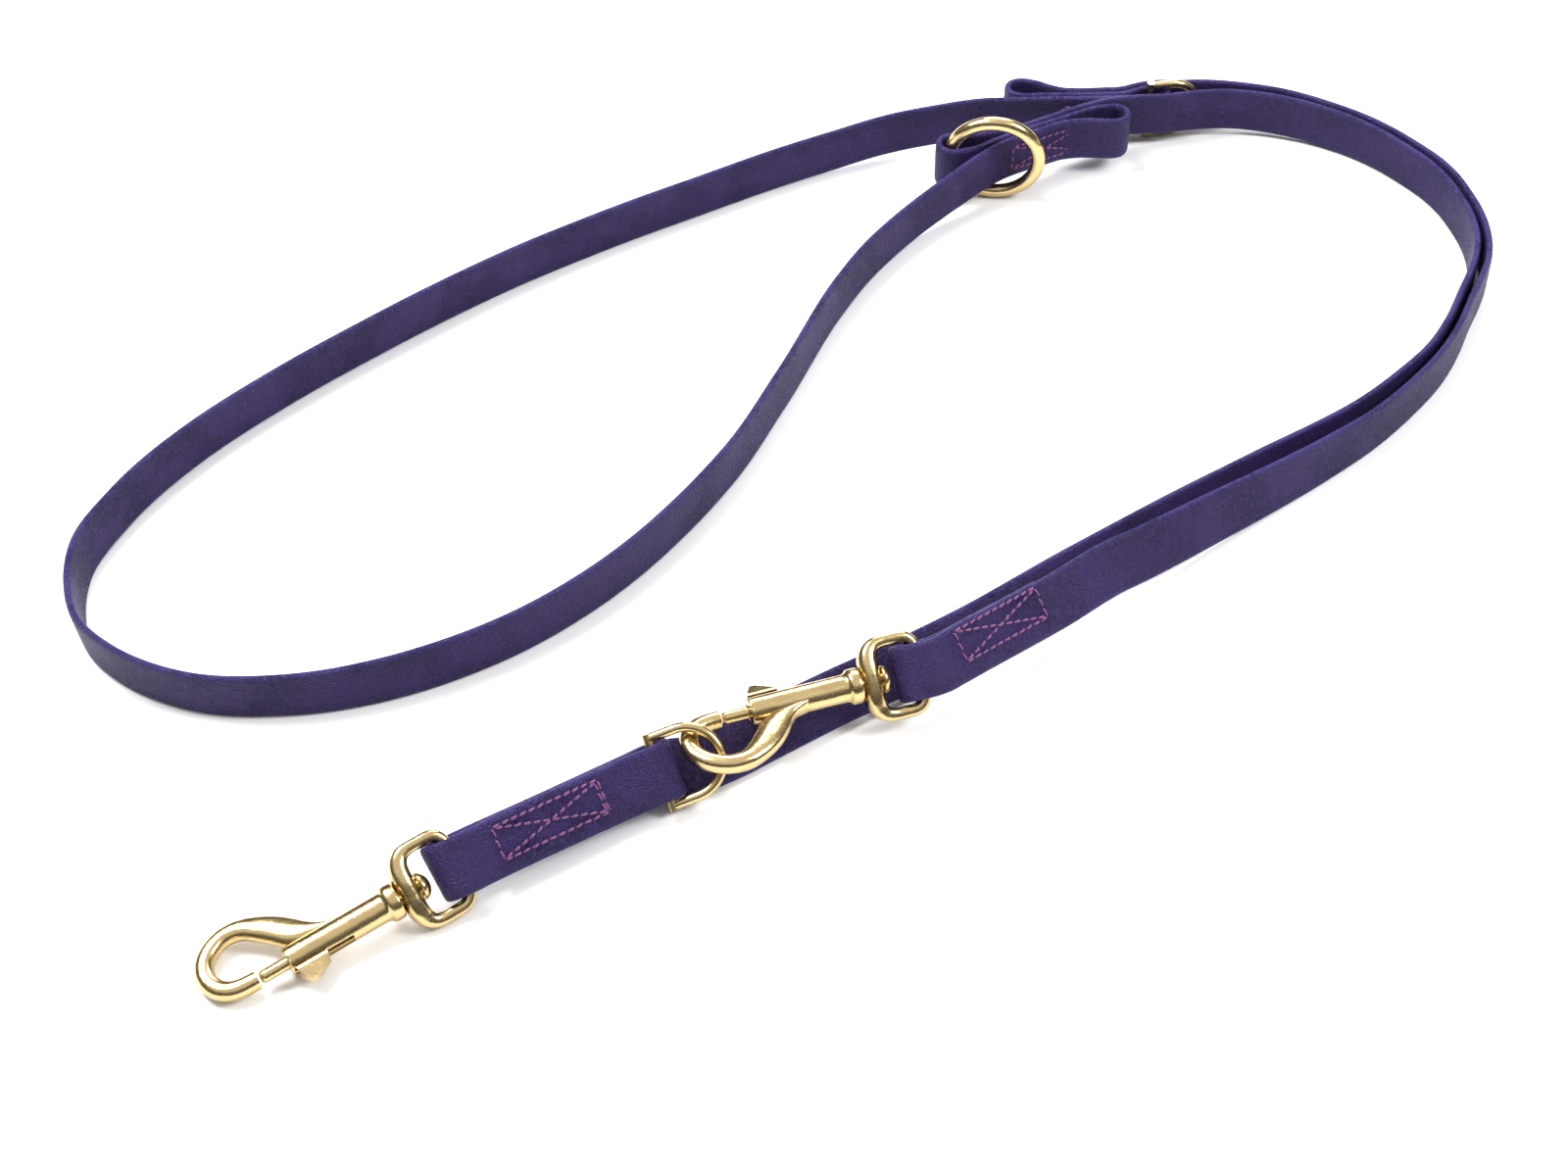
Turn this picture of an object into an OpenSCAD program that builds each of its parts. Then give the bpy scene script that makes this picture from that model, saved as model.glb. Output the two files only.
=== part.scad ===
// Training leash: one flat strap with a stitched hand loop, a ring held in a
// Z-fold, two D-rings and a swivel bolt snap at each end.
// Frame: X along the layout, Y away from the viewer, Z up from the floor, mm.

/* [Strap] */
// width of the flat strap
strap_w = 19; // [12:0.5:30]
// thickness of the flat strap
strap_t = 2.8; // [2:0.1:3.1]
// gap left between stacked strap layers
layer_gap = 0.12; // [0.1:0.02:0.3]
// gap between a strap fold and the bar inside it
wrap_gap = 0.45; // [0.2:0.05:0.5]
// slack of a strap fold ahead of a swivel eye's bar
fold_slack = 2.9; // [1.5:0.1:3.4]
// moves the left end of the hand loop outwards
loop_reach = 0; // [0:1:60]
// moves the right end of the paired straps outwards
pair_reach = 0; // [0:1:60]

/* [Stitching] */
// thickness of the sewing thread
thread_d = 0.7; // [0.4:0.05:1]
// length of one stitch with its gap
stitch_pitch = 4.2; // [3:0.1:6]
// length of the stitched boxes on the hand loop and at snap B
box_len = 31; // [26:1:33]
// length of the stitched box at snap A
box_len_a = 38; // [30:1:42]
// width of the stitched boxes
box_wid = 11; // [8:0.5:14]

/* [Rings] */
// wire thickness of the round ring
o_wire = 5.5; // [4:0.1:6]
// inner diameter of the round ring
o_inner = 30; // [28:0.5:32]
// wire thickness of the D-rings
d_wire = 3.3; // [3:0.1:4]
// gap between the strap's edge and a D-ring's side
d_side_gap = 0.4; // [0.3:0.05:1.5]
// depth of a D-ring, bar centre to the crown's centre
d_depth = 20.5; // [18:0.5:23]

/* [Snap] */
// diameter of the snap barrel
barrel_d = 9.5; // [9:0.1:11]
// length of the barrel with its collar
barrel_l = 38.5; // [34:0.5:42]
// diameter of the collar at the barrel's end
collar_d = 12.1; // [11:0.1:13]
// reach of the hook loop ahead of the barrel
loop_l = 26; // [24:0.5:30]
// thickness of the hook loop
loop_t = 6; // [4.5:0.1:6.5]
// diameter of the sliding bolt
plunger_d = 4.2; // [3.5:0.1:5]
// travel of the sliding bolt
plunger_travel = 9; // [7:0.5:9.5]
// gap around the sliding bolt
plunger_gap = 0.06; // [0.03:0.01:0.1]
// gap between the strap's edge and a swivel eye's arm
eye_side_gap = 0.75; // [0.4:0.05:2]
// thickness of the swivel eye's arms and bar
eye_t = 4.2; // [3.6:0.1:4.6]
// thickness of the swivel eye's base
eye_base = 7.2; // [6:0.1:8]
// length inside the swivel eye
eye_in = 11.4; // [11:0.1:16]
// diameter of the swivel stem
stem_d = 6; // [5:0.1:7]
// gap around the swivel stem
stem_gap = 0.06; // [0.03:0.01:0.1]
// end play of the swivel eye
stem_play = 0.3; // [0.2:0.05:0.5]

/* [Hidden] */
W = strap_w;
T = strap_t;
P = T + layer_gap;
sx = -14.824;
sy = -48.706;
sz = 0;
INDIGO = [0.27, 0.22, 0.38];
THREAD = [0.62, 0.3, 0.62];
BRASS = [0.8, 0.66, 0.36];

// ---- vectors
function unit(v) = v / max(norm(v), 1e-9);
function perp(v, a) = unit(v - a * (v * a));

// ---- smoothing: one cubic through each pair of neighbouring route points
function cr(a, b, c, d, t) = 0.5 * ((2 * b) + (c - a) * t
    + (2 * a - 5 * b + 4 * c - d) * t * t
    + (3 * b - a - 3 * c + d) * t * t * t);
function at(p, i) = p[max(0, min(len(p) - 1, i))];
function smooth(p, n) = [for (i = [0 : len(p) - 2], k = [0 : n - 1])
    cr(i == 0 ? 2 * p[0] - p[1] : p[i - 1], p[i], p[i + 1],
        i == len(p) - 2 ? 2 * p[i + 1] - p[i] : p[i + 2], k / n),
    p[len(p) - 1]];

// ---- a route entry is [x, y, lift of the lower edge, lean from upright]
// the lean turns the strap's width towards the right of its travel
function tang(p, i) = unit([at(p, i + 1)[0] - at(p, i - 1)[0],
    at(p, i + 1)[1] - at(p, i - 1)[1], 0]);
function wdir(p, i) = let (t = tang(p, i), a = p[i][3])
    [t[1] * sin(a), -t[0] * sin(a), cos(a)];
function mid(p, i) = let (w = wdir(p, i), a = p[i][3])
    [p[i][0], p[i][1], p[i][2] + T / 2 * abs(sin(a)) - 0] + w * (W / 2);
function frames(p) = [for (i = [0 : len(p) - 1]) [mid(p, i), wdir(p, i)]];

// ---- flat section with rounded edges, swept along [centre, width direction]
c1 = T * 0.32;
SEC = [[W / 2 - c1, T / 2], [-W / 2 + c1, T / 2], [-W / 2, T / 2 - c1],
    [-W / 2, -T / 2 + c1], [-W / 2 + c1, -T / 2], [W / 2 - c1, -T / 2],
    [W / 2, -T / 2 + c1], [W / 2, T / 2 - c1]];
function ftan(f, i) = unit(at(f, i + 1)[0] - at(f, i - 1)[0]);
function ring(f, i) = let (t = ftan(f, i), w = perp(f[i][1], t), n = cross(t, w))
    [for (s = SEC) f[i][0] + w * s[0] + n * s[1]];

// ---- levels of the layers in a stack, measured along its normal
rho_eye = eye_t / 2 + wrap_gap + T / 2;
rho_d = d_wire / 2 + wrap_gap + T / 2;
lie = 45;
zc = W / 2 * cos(lie) + T / 2 * sin(lie) + 0.1;

// ---- stack at snap A: the long way runs from the snap to D-ring 1
// the strap's width direction turns a little between the two bars
function flat(a) = [cos(a), sin(a), 0];
function inclined(a) = [-sin(a) * sin(lie), cos(a) * sin(lie), cos(lie)];
angA = 33.2;
uA = flat(angA);
fA = -unit([cos(33.7), sin(33.7), 0.11]);
w0A = perp(inclined(33.7), fA);
w1A = inclined(30);
spanA = 76.1;
oA = [-106, -134.2, zc + 2.1];
function wAt(s) = unit(w0A + (w1A - w0A) * min(1, max(0, (s - 8) / (spanA - 12))));
function nAt(s) = unit(cross(perp(uA, wAt(s)), wAt(s)));
dropA = [0, 0, 2];
function inA(s, h) = [oA + uA * s + nAt(s) * h - dropA * min(1, max(0, s / spanA)), wAt(s)];
EA = oA + nAt(0) * rho_eye + uA * fold_slack;
D1 = inA(spanA, P + rho_d)[0];
endA = concat(
    [for (s = [15, 34, 54]) inA(s, P)],
    [for (a = [-90 : 30 : 90])
        inA(spanA + 1.5 + rho_d * cos(a), P + rho_d + rho_d * sin(a))],
    [inA(spanA - 2.6, P + 2 * rho_d), inA(spanA - 7, 2 * P + 2.3),
        inA(spanA - 14, 2 * P + 0.2)],
    [for (s = [54, 34, 15]) inA(s, 2 * P)],
    [inA(9.5, 2 * P + 0.7), inA(5.2, 2 * rho_eye)],
    [for (a = [90 : 30 : 270])
        inA(rho_eye * cos(a), rho_eye + rho_eye * sin(a))],
    [for (s = [5, 20, 38, 56, 68, 78]) inA(s, s > 60 ? -0.12 : 0)]);

// ---- stack at snap B: from the snap's eye back along the strap pair
angB = 39;
uB = unit(flat(angB) - [0, 0, 0.06]);
under = 11.6;
EB = [44.6, -54.6, zc + under * cos(lie)];
fB = -unit([0.947, 0.338, -0.02]);
w0B = perp(inclined(18.4), fB);
w1B = perp(inclined(37), uB);
function wBt(s) = unit(w0B + (w1B - w0B) * min(1, max(0, (s - 6) / 12)));
function nBt(s) = unit(cross(perp(uB, wBt(s)), wBt(s)));
function bend(s) = s < 6 ? 0 : s < 14 ? (s - 6) * (s - 6) / 16 : s - 10;
function inB(s, h) = [EB - fB * (s - fold_slack) + (uB + fB) * bend(s) + nBt(s) * h, wBt(s)];

// ---- route of the strap's near lead, from D-ring 1 round the right end
// each entry is [x, y, lift, lean], lean turning to the right of travel
near_in = [
    [-22.5, -93.5, 0.2, -53], [-12, -87.4, 0.2, -55], [4, -76.6, 0.2, -54],
    [22, -64.4, 0.2, -50], [46, -49.5, 0.2, -45], [70, -33, 0.2, -45],
    [104, -6, 0.2, -36], [139, 22, 0.2, -22], [174, 50, 0.2, -9], [209.5, 77.5, 0.2, -1],
    [241.5 + pair_reach * 0.6, 110.5, 0.2, 0], [258.2 + pair_reach, 141.5, 0.2, 0],
    [268.5 + pair_reach, 166, 0.2, 0], [271 + pair_reach, 184, 0.2, 0],
    [268.2 + pair_reach, 203, 0.2, 0], [260.8 + pair_reach, 223, 0.2, 0],
    [243 + pair_reach * 0.6, 245.4, 0.3, 0], [224.5, 258.8, 1, 0],
    [204.8, 266.6, 2, 0], [184.5, 268.8, 3.3, 0], [166, 264.4, 5.4, 0],
    [157, 261.5, 6.2, 0], [147, 259.6, 7.2, 0], [135, 257.2, 7.6, 0]];
near = smooth(near_in, 2);

// ---- the ring's Z-fold: stack line C with layers c, b and a
angC = 27.5;
oC = [104, 236];
lift_c = o_wire + 2.2;
function inC(s, h) = [oC[0] + cos(angC) * s - sin(angC) * h,
    oC[1] + sin(angC) * s + cos(angC) * h, lift_c, 0];
tipC = T / 2 + 3.9;
zfold_c = concat(
    [inC(24, 2 * P), inC(6, 2 * P), inC(-12, 2 * P)],
    [[82, 232.9, lift_c, 0], [75, 231.9, lift_c, 0]],
    [for (a = [90 : 30 : 270])
        [67.6 + 5.35 * cos(a), 226.4 + 5.35 * sin(a), lift_c, 0]],
    [[72.5, 221.9, lift_c, 0], [76.6, 223.2, lift_c, 0],
        [80.1, 225.2, lift_c, 0], [84, 228, lift_c, 0]],
    [inC(-12, P), inC(6, P), inC(20, P), inC(27, P - 0.3)],
    [for (a = [80 : -32.5 : -115])
        inC(32 + tipC * cos(a), -4.4 + tipC * sin(a))],
    [inC(24, -6), inC(18, -2.6), inC(11, -0.3), inC(0, 0), inC(-10, 0)],
    [[91.8, 229.4, lift_c, 0], [85.3, 224.7, lift_c, 0]]);

// ---- the hand loop: from the ring, round the left end and back
loop_in = [
    [77.2, 219, 6.2, 0], [69.5, 213.3, 4, 0], [61.5, 206.6, 2.2, 0],
    [52.3, 197.5, 0.8, 0], [41.7, 184, 0.2, 1], [32.2, 169.5, 0.2, 2],
    [22.2, 150, 0.2, 3], [-0.8, 94.2, 0.2, 3], [-18.6, 54.5, 0.2, 3],
    [-35.6, 26.4, 0.2, 3], [-68.4, -13.1, 0.2, 3], [-100.2, -37.6, 0.2, 3],
    [-131.9, -52.8, 0.2, 3], [-163.4, -59.8, 0.2, 0], [-196, -58, 0.2, -3],
    [-224, -44.5 - 0, 0.2, -5], [-236 - loop_reach, -32, 0.2, -7],
    [-242.2 - loop_reach, -14.4, 0.2, -8], [-243.2 - loop_reach, 4.9, 0.2, -8],
    [-235 - loop_reach, 29.7, 0.2, -6], [-214.8 - loop_reach * 0.6, 63.6, 0.2, -3],
    [-183.4, 99, 0.2, -1], [-149.8, 130.4, 0.2, 0], [-114.6, 160.2, 0.2, 0],
    [-77.6, 186.6, 0.2, 0], [-39.2, 210.2, 0.2, 0], [0.2, 233.2, 0.4, 0],
    [20.4, 243.2, 1, 0], [40.8, 252, 2, 0], [61.2, 257.6, 3, 0]];
hand = smooth(loop_in, 1);

// ---- D-ring 2's Z-fold: stack line D with layers c', b' and a'
angD = 2.3;
oD = [100, 262.3];
lift_d = d_wire + d_side_gap;
function inD(s, h) = [oD[0] + cos(angD) * s - sin(angD) * h,
    oD[1] + sin(angD) * s + cos(angD) * h, lift_d, 0];
barD = 51.5;
tipD = 55.3;
zfold_d = concat(
    [inD(-20, 0), inD(0, 0), inD(20, 0), inD(38, 0), inD(barD, 0)],
    [for (a = [-90 : 30 : 90])
        inD(tipD + (rho_d - 0.2) * cos(a), rho_d + rho_d * sin(a))],
    [inD(barD, 2 * rho_d), inD(46, 2 * rho_d - 1.7), inD(40.5, P + 0.2)],
    [inD(34, P), inD(14, P), inD(6, P)],
    [for (a = [-90 : -30 : -270])
        inD(-1.9 + tipC * cos(a), P + tipC + 0.1 + tipC * sin(a))],
    [inD(5, P + 2 * tipC - 1.6), inD(10.5, 2 * P + 2.7), inD(15.5, 2 * P + 0.5)],
    [inD(20, 2 * P), inD(34, 2 * P), inD(39.6, 2 * P + 0.35), inD(45.3, 2 * P + 2.45),
        inD(barD, 2 * rho_d + P + 0.27)]);

// ---- the strap's far lead, outside the near one, down to snap B
far_in = [
    [165, 275.2, lift_d, 0], [180, 276, 3, 0], [206, 272.4, 1.5, 0],
    [227, 263, 0.5, 0], [246.4 + pair_reach * 0.6, 248.2, 0.2, 0],
    [265 + pair_reach, 224.8, 0.2, 0], [272.4 + pair_reach, 204, 0.2, 0],
    [275.3 + pair_reach, 184, 0.2, 0], [272.8 + pair_reach, 163.5, 0.2, 0],
    [262.4 + pair_reach, 139.5, 0.2, 0], [246.5 + pair_reach * 0.6, 107.5, 0.2, 2],
    [215.3, 71.2, 0.2, 5], [175.1, 37.8, 0.2, 18], [137.6, 8.4, 1.9, 36],
    [119, -6.5, 4.6, 43]];
far = smooth(far_in, 2);
rear = under + rho_eye;
endB = concat(
    [for (s = [62, 54, 44, 34, 25, 16]) inB(s, 1.6)],
    [inB(9.5, rho_eye - 1.1), inB(5.2, rho_eye)],
    [for (a = [90 : 30 : 270])
        inB(rho_eye * cos(a), rho_eye * sin(a))],
    [inB(5.2, -rho_eye), inB(9.5, -rho_eye + 1.4)],
    [for (s = [16, 25, 34, 44, 59]) inB(s, 1.6 - P)]);

// ---- the whole strap in its order, cut into runs at shared rings
runs = [endA, frames(near), frames(zfold_c), frames(hand), frames(zfold_d),
    frames(far), endB];
function upto(k) = k == 0 ? 0 : len(runs[k - 1]) + upto(k - 1);
ALL = [for (r = runs) each r];
module run(k) {
    i0 = upto(k);
    i1 = min(len(ALL) - 1, upto(k + 1));
    m = len(SEC);
    n = i1 - i0 + 1;
    pts = [for (i = [i0 : i1]) each ring(ALL, i)];
    color(INDIGO) place() polyhedron(points = pts, faces = concat(
        [[for (j = [0 : m - 1]) j]],
        [for (i = [0 : n - 2], j = [0 : m - 1])
            [(i + 1) * m + (j + 1) % m, i * m + (j + 1) % m, i * m + j]],
        [for (i = [0 : n - 2], j = [0 : m - 1])
            [(i + 1) * m + j, (i + 1) * m + (j + 1) % m, i * m + j]],
        [[for (j = [m - 1 : -1 : 0]) (n - 1) * m + j]]), convexity = 10);
}
module place() translate([sx, sy, sz]) children();

module strap_end_a() run(0);
module strap_lead_near() run(1);
module strap_ring_fold() run(2);
module strap_hand_loop() run(3);
module strap_d_fold() run(4);
module strap_lead_far() run(5);
module strap_end_b() run(6);

// ---- frames for the metal: columns are forward, sideways and thickness
function mat(o, f, g) = let (h = cross(f, g))
    [[f[0], g[0], h[0], o[0]], [f[1], g[1], h[1], o[1]],
        [f[2], g[2], h[2], o[2]], [0, 0, 0, 1]];

// ---- rings; the D lies with its bar along Y and its crown at +X
d_half = W / 2 + d_side_gap + d_wire / 2;
module d_shape() {
    r = d_wire / 2;
    st = d_depth - d_half;
    rotate([90, 0, 0]) cylinder(h = 2 * d_half + d_wire, d = d_wire, center = true, $fn = 48);
    for (k = [-1, 1])
        translate([0, k * d_half, 0]) rotate([0, 90, 0])
            cylinder(h = st, d = d_wire, $fn = 48);
    translate([st, 0, 0]) rotate([0, 0, -90])
        rotate_extrude(angle = 180, $fn = 96) translate([d_half, 0]) circle(d = d_wire, $fn = 48);
}
d1_swing = 23;
d1_dir = unit(perp(uA, w1A) * cos(d1_swing) + nAt(spanA) * sin(d1_swing));
D2 = [inD(barD, rho_d)[0], inD(barD, rho_d)[1], d_half + d_wire / 2];
module d_ring_1() {
    color(BRASS) place() multmatrix(mat(D1, d1_dir, w1A)) d_shape();
}
module d_ring_2() {
    color(BRASS) place() multmatrix(mat(D2, flat(10.5), [0, 0, 1])) d_shape();
}

// ---- round ring, standing on its rim and leaning a little to the viewer
o_r = o_inner / 2 + o_wire / 2;
o_norm = unit([-0.112, -0.988, -0.102]);
OC = [84.5, 224.4, o_r * sqrt(1 - o_norm[2] * o_norm[2]) + o_wire / 2];
module o_ring() {
    color(BRASS) place() multmatrix(mat(OC, unit([0.988, -0.112, 0]), cross(o_norm, unit([0.988, -0.112, 0]))))
        rotate_extrude($fn = 128) translate([o_r, 0]) circle(d = o_wire, $fn = 64);
}

// ---- bolt snap, forward is +X from the collar's rear face, bulge is +Y
xb = barrel_l;
bore_d = plunger_d + 2 * plunger_gap;
plunger_rear = xb - 12;
spring_rear = plunger_rear - plunger_travel - 6;
plunger_tip = xb + 9.4;
nose_x = plunger_tip + 0.8;
knob_w = 2.4;
slot_w = knob_w + 0.6;
eye_half = W / 2 + eye_side_gap + eye_t / 2;
eye_bar = -stem_play - eye_base - eye_in - eye_t / 2;
ls = loop_l / 26;
// loop route ahead of the barrel's front: [forward, sideways, width of the band]
loop_path = [[-14.5, 2, 4.6], [-10, 5.6, 7.4], [-6, 9.6, 8.8], [-1.9, 14.4, 8],
    [2.9, 18.6, 6.2], [7.1, 20.4, 5.4], [12.2, 20.6, 5.2], [17.1, 18.8, 5.3],
    [21, 15.2, 5.6], [22.9, 10.8, 6], [22.9, 7.2, 6.2], [21.6, 3.9, 6.3], [19.1, 1.6, 6.1],
    [16.3, 0.5, 5.9], [12.8, 0.1, 5.7], [nose_x - xb, 0, 5.6]];
loop_frames = [for (p = loop_path) [[xb + (p[0] > 11 ? nose_x - xb + (p[0] - (nose_x - xb)) * ls : p[0]),
    p[1], 0], [0, 0, 1], p[2]]];
function oval(f, i, m) = let (t = ftan(f, i), w = [0, 0, 1], n = cross(t, w))
    [for (j = [0 : m - 1]) let (a = 360 * (j + 0.5) / m,
        q = pow(pow(abs(cos(a)), 2.6) + pow(abs(sin(a)), 2.6), -1 / 2.6))
        f[i][0] + w * (loop_t / 2 * q * cos(a)) + n * (f[i][2] / 2 * q * sin(a))];
module tube(f, m) {
    k = len(f);
    pts = [for (i = [0 : k - 1]) each oval(f, i, m)];
    polyhedron(points = pts, faces = concat(
        [[for (j = [0 : m - 1]) j]],
        [for (i = [0 : k - 2], j = [0 : m - 1])
            [(i + 1) * m + (j + 1) % m, i * m + (j + 1) % m, i * m + j]],
        [for (i = [0 : k - 2], j = [0 : m - 1])
            [(i + 1) * m + j, (i + 1) * m + (j + 1) % m, i * m + j]],
        [[for (j = [m - 1 : -1 : 0]) (k - 1) * m + j]]), convexity = 6);
}
module along(d, x0, x1, n = 48) {
    translate([x0, 0, 0]) rotate([0, 90, 0]) cylinder(h = x1 - x0, d = d, $fn = n);
}
module snap_body() {
    difference() {
        union() {
            along(collar_d, 0, 4, 64);
            translate([4, 0, 0]) rotate([0, 90, 0])
                cylinder(h = 1, d1 = collar_d - 0.6, d2 = barrel_d, $fn = 64);
            along(barrel_d, 3, xb, 64);
            tube(loop_frames, 12);
        }
        along(bore_d, spring_rear, xb + 1);
        translate([plunger_rear - plunger_travel, -barrel_d, -slot_w / 2])
            cube([xb - 0.6 - (plunger_rear - plunger_travel), barrel_d, slot_w]);
    }
    along(stem_d, -eye_base - 2 * stem_play - 0.5, 0.5);
    translate([-eye_base - 2 * stem_play, 0, 0]) rotate([0, -90, 0]) intersection() {
        cylinder(h = 5, d = 9.4, $fn = 48);
        translate([0, 0, -2]) sphere(r = 5.6, $fn = 64);
    }
}
eye_r = 4.5;
module snap_eye() {
    xe = -stem_play - eye_base;
    eo = eye_half + eye_t / 2 - 0.4;
    difference() {
        union() {
            intersection() {
                translate([xe, 0, -5]) linear_extrude(10) polygon([[0, -eo], [2.2, -eo + 0.6],
                    [4.4, -eo + 2.6], [eye_base - 1, -8.4], [eye_base, -6.4], [eye_base, 6.4],
                    [eye_base - 1, 8.4], [4.4, eo - 2.6], [2.2, eo - 0.6], [0, eo]]);
                translate([xe - 1, 0, 0]) rotate([90, 0, 90]) linear_extrude(eye_base + 2)
                    polygon([[-eo - 1, -1.2], [-11, -2.9], [-6, -4.7], [6, -4.7], [11, -2.9],
                        [eo + 1, -1.2], [eo + 1, 1.2], [11, 2.9], [6, 4.7], [-6, 4.7],
                        [-11, 2.9], [-eo - 1, 1.2]]);
            }
            for (k = [-1, 1]) {
                translate([0, k * eye_half, 0]) along(eye_t, eye_bar + eye_r, xe + 2);
                translate([eye_bar + eye_r, k * (eye_half - eye_r), 0])
                    rotate([0, 0, k > 0 ? 90 : 180]) rotate_extrude(angle = 90, $fn = 64)
                        translate([eye_r, 0]) circle(d = eye_t, $fn = 48);
            }
            translate([eye_bar, 0, 0]) rotate([90, 0, 0])
                cylinder(h = 2 * (eye_half - eye_r), d = eye_t, center = true, $fn = 48);
        }
        along(stem_d + 2 * stem_gap, xe - 1, 1);
    }
}
module snap_plunger() {
    difference() {
        union() {
            along(plunger_d, plunger_rear, plunger_tip - 1);
            translate([plunger_tip - 1, 0, 0]) rotate([0, 90, 0])
                cylinder(h = 1, d1 = plunger_d, d2 = plunger_d - 1.4, $fn = 48);
        }
        translate([xb - 6.3, 0, 0]) rotate([90, 0, 0]) cylinder(h = 4, d = 2, $fn = 32);
    }
}
module snap_knob() {
    y0 = barrel_d / 2 + 0.3;
    translate([xb - 6.3, 0, 0]) rotate([90, 0, 0]) cylinder(h = y0, d = 2, $fn = 32);
    translate([xb - 8.6, -y0 - 0.4, -knob_w / 2]) cube([5, y0 - plunger_d / 2 + 0.3, knob_w]);
    hull() {
        translate([xb - 11.6, -y0 - 0.8, -2.6]) cube([10.4, 0.8, 5.2]);
        translate([xb - 5.4, -10.4, -1.2]) cube([1.8, 0.6, 2.4]);
    }
}
module snap_spring() {
    n = 7;
    r = 1.55;
    x0 = spring_rear + 0.35;
    x1 = plunger_rear - 0.35;
    f = [for (i = [0 : 10 * n]) let (a = 36 * i)
        [x0 + (x1 - x0) * i / (10 * n), r * cos(a), r * sin(a)]];
    m = 6;
    pts = [for (i = [0 : 10 * n]) let (a = 36 * i, e = [0, cos(a), sin(a)])
        for (j = [0 : m - 1]) f[i] + e * (0.3 * cos(60 * j)) + [0.3 * sin(60 * j), 0, 0]];
    polyhedron(points = pts, faces = concat(
        [[for (j = [m - 1 : -1 : 0]) j]],
        [for (i = [0 : 10 * n - 1], j = [0 : m - 1])
            [i * m + j, i * m + (j + 1) % m, (i + 1) * m + (j + 1) % m]],
        [for (i = [0 : 10 * n - 1], j = [0 : m - 1])
            [i * m + j, (i + 1) * m + (j + 1) % m, (i + 1) * m + j]],
        [[for (j = [0 : m - 1]) 10 * n * m + j]]), convexity = 8);
}

// ---- snap A lies flat, bulge away; snap B has its bulge to the viewer
cA = EA - fA * eye_bar;
gA = perp([-0.555, 0.832, 0], fA);
cB = EB - fB * eye_bar;
gB = perp([0.31, -0.93, 0.05], fB);
module in_a() { place() multmatrix(mat(cA, fA, gA)) children(); }
module in_b() { place() multmatrix(mat(cB, fB, gB)) children(); }
module snap_a_body() { color(BRASS) in_a() snap_body(); }
module snap_a_eye() { color(BRASS) place() multmatrix(mat(cA, fA, w0A)) snap_eye(); }
module snap_a_plunger() { color(BRASS) in_a() snap_plunger(); }
module snap_a_knob() { color(BRASS) in_a() snap_knob(); }
module snap_a_spring() { color(BRASS) in_a() snap_spring(); }
module snap_b_body() { color(BRASS) in_b() snap_body(); }
module snap_b_eye() { color(BRASS) place() multmatrix(mat(cB, fB, w0B)) snap_eye(); }
module snap_b_plunger() { color(BRASS) in_b() snap_plunger(); }
module snap_b_knob() { color(BRASS) in_b() snap_knob(); }
module snap_b_spring() { color(BRASS) in_b() snap_spring(); }

// ---- stitched boxes: rows of stitches on both faces of a stack
module seam(a, b) {
    v = b - a;
    n = max(1, floor(norm(v) / stitch_pitch));
    st = norm(v) / n;
    translate([a[0], a[1], 0]) rotate([0, 0, atan2(v[1], v[0])])
        for (i = [0 : n - 1])
            translate([st * (i + 0.17), 0, 0]) rotate([0, 90, 0])
                cylinder(h = st * 0.66, d = thread_d, $fn = 6);
}
module stitch_face(l, w) {
    seam([0, -w / 2], [l, -w / 2]);
    seam([0, w / 2], [l, w / 2]);
    seam([0, -w / 2], [0, w / 2]);
    seam([l, -w / 2], [l, w / 2]);
    seam([1.2, -w / 2 + 0.9], [l - 1.2, w / 2 - 0.9]);
    seam([1.2, w / 2 - 0.9], [l - 1.2, -w / 2 + 0.9]);
}
sink = 0.1;
module stitch_pair(o, u, w, l, wid, lo, hi) {
    n = cross(u, w);
    place() multmatrix(mat(o + n * (hi + T / 2 + sink), u, w)) stitch_face(l, wid);
    place() multmatrix(mat(o + n * (lo - T / 2 - sink), u, w)) stitch_face(l, wid);
}
function up3(p, z) = [p[0], p[1], z];
module stitch_box_a() {
    u = unit(inA(17 + box_len_a, 0)[0] - inA(17, 0)[0]);
    color(THREAD) stitch_pair(inA(17, 0)[0] + 1 * wAt(35), u, perp(wAt(35), u), box_len_a, box_wid, 0, 2 * P);
}
module stitch_box_b() {
    u = unit(inB(58, 0)[0] - inB(26, 0)[0]);
    color(THREAD) stitch_pair(inB(19, 0)[0] + 2.4 * wBt(44), u, perp(wBt(44), u), box_len + 5.5, box_wid, 1.6 - P, 1.6);
}
module stitch_box_c() {
    color(THREAD) stitch_pair(up3(inC(-14, 0), lift_c + W / 2), flat(angC), [0, 0, 1],
        box_len, box_wid, -2 * P, 0);
}
module stitch_box_d() {
    color(THREAD) stitch_pair(up3(inD(15, 0), lift_d + W / 2), flat(angD), [0, 0, 1],
        box_len - 5, box_wid, -2 * P, 0);
}

strap_end_a();
strap_lead_near();
strap_ring_fold();
strap_hand_loop();
strap_d_fold();
strap_lead_far();
strap_end_b();
stitch_box_a();
stitch_box_b();
stitch_box_c();
stitch_box_d();
o_ring();
d_ring_1();
d_ring_2();
snap_a_body();
snap_a_eye();
snap_a_plunger();
snap_a_knob();
snap_a_spring();
snap_b_body();
snap_b_eye();
snap_b_plunger();
snap_b_knob();
snap_b_spring();
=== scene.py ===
"""Training leash: one long flat strap with folds sewn round its rings, and a swivel bolt snap at each end."""

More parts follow.
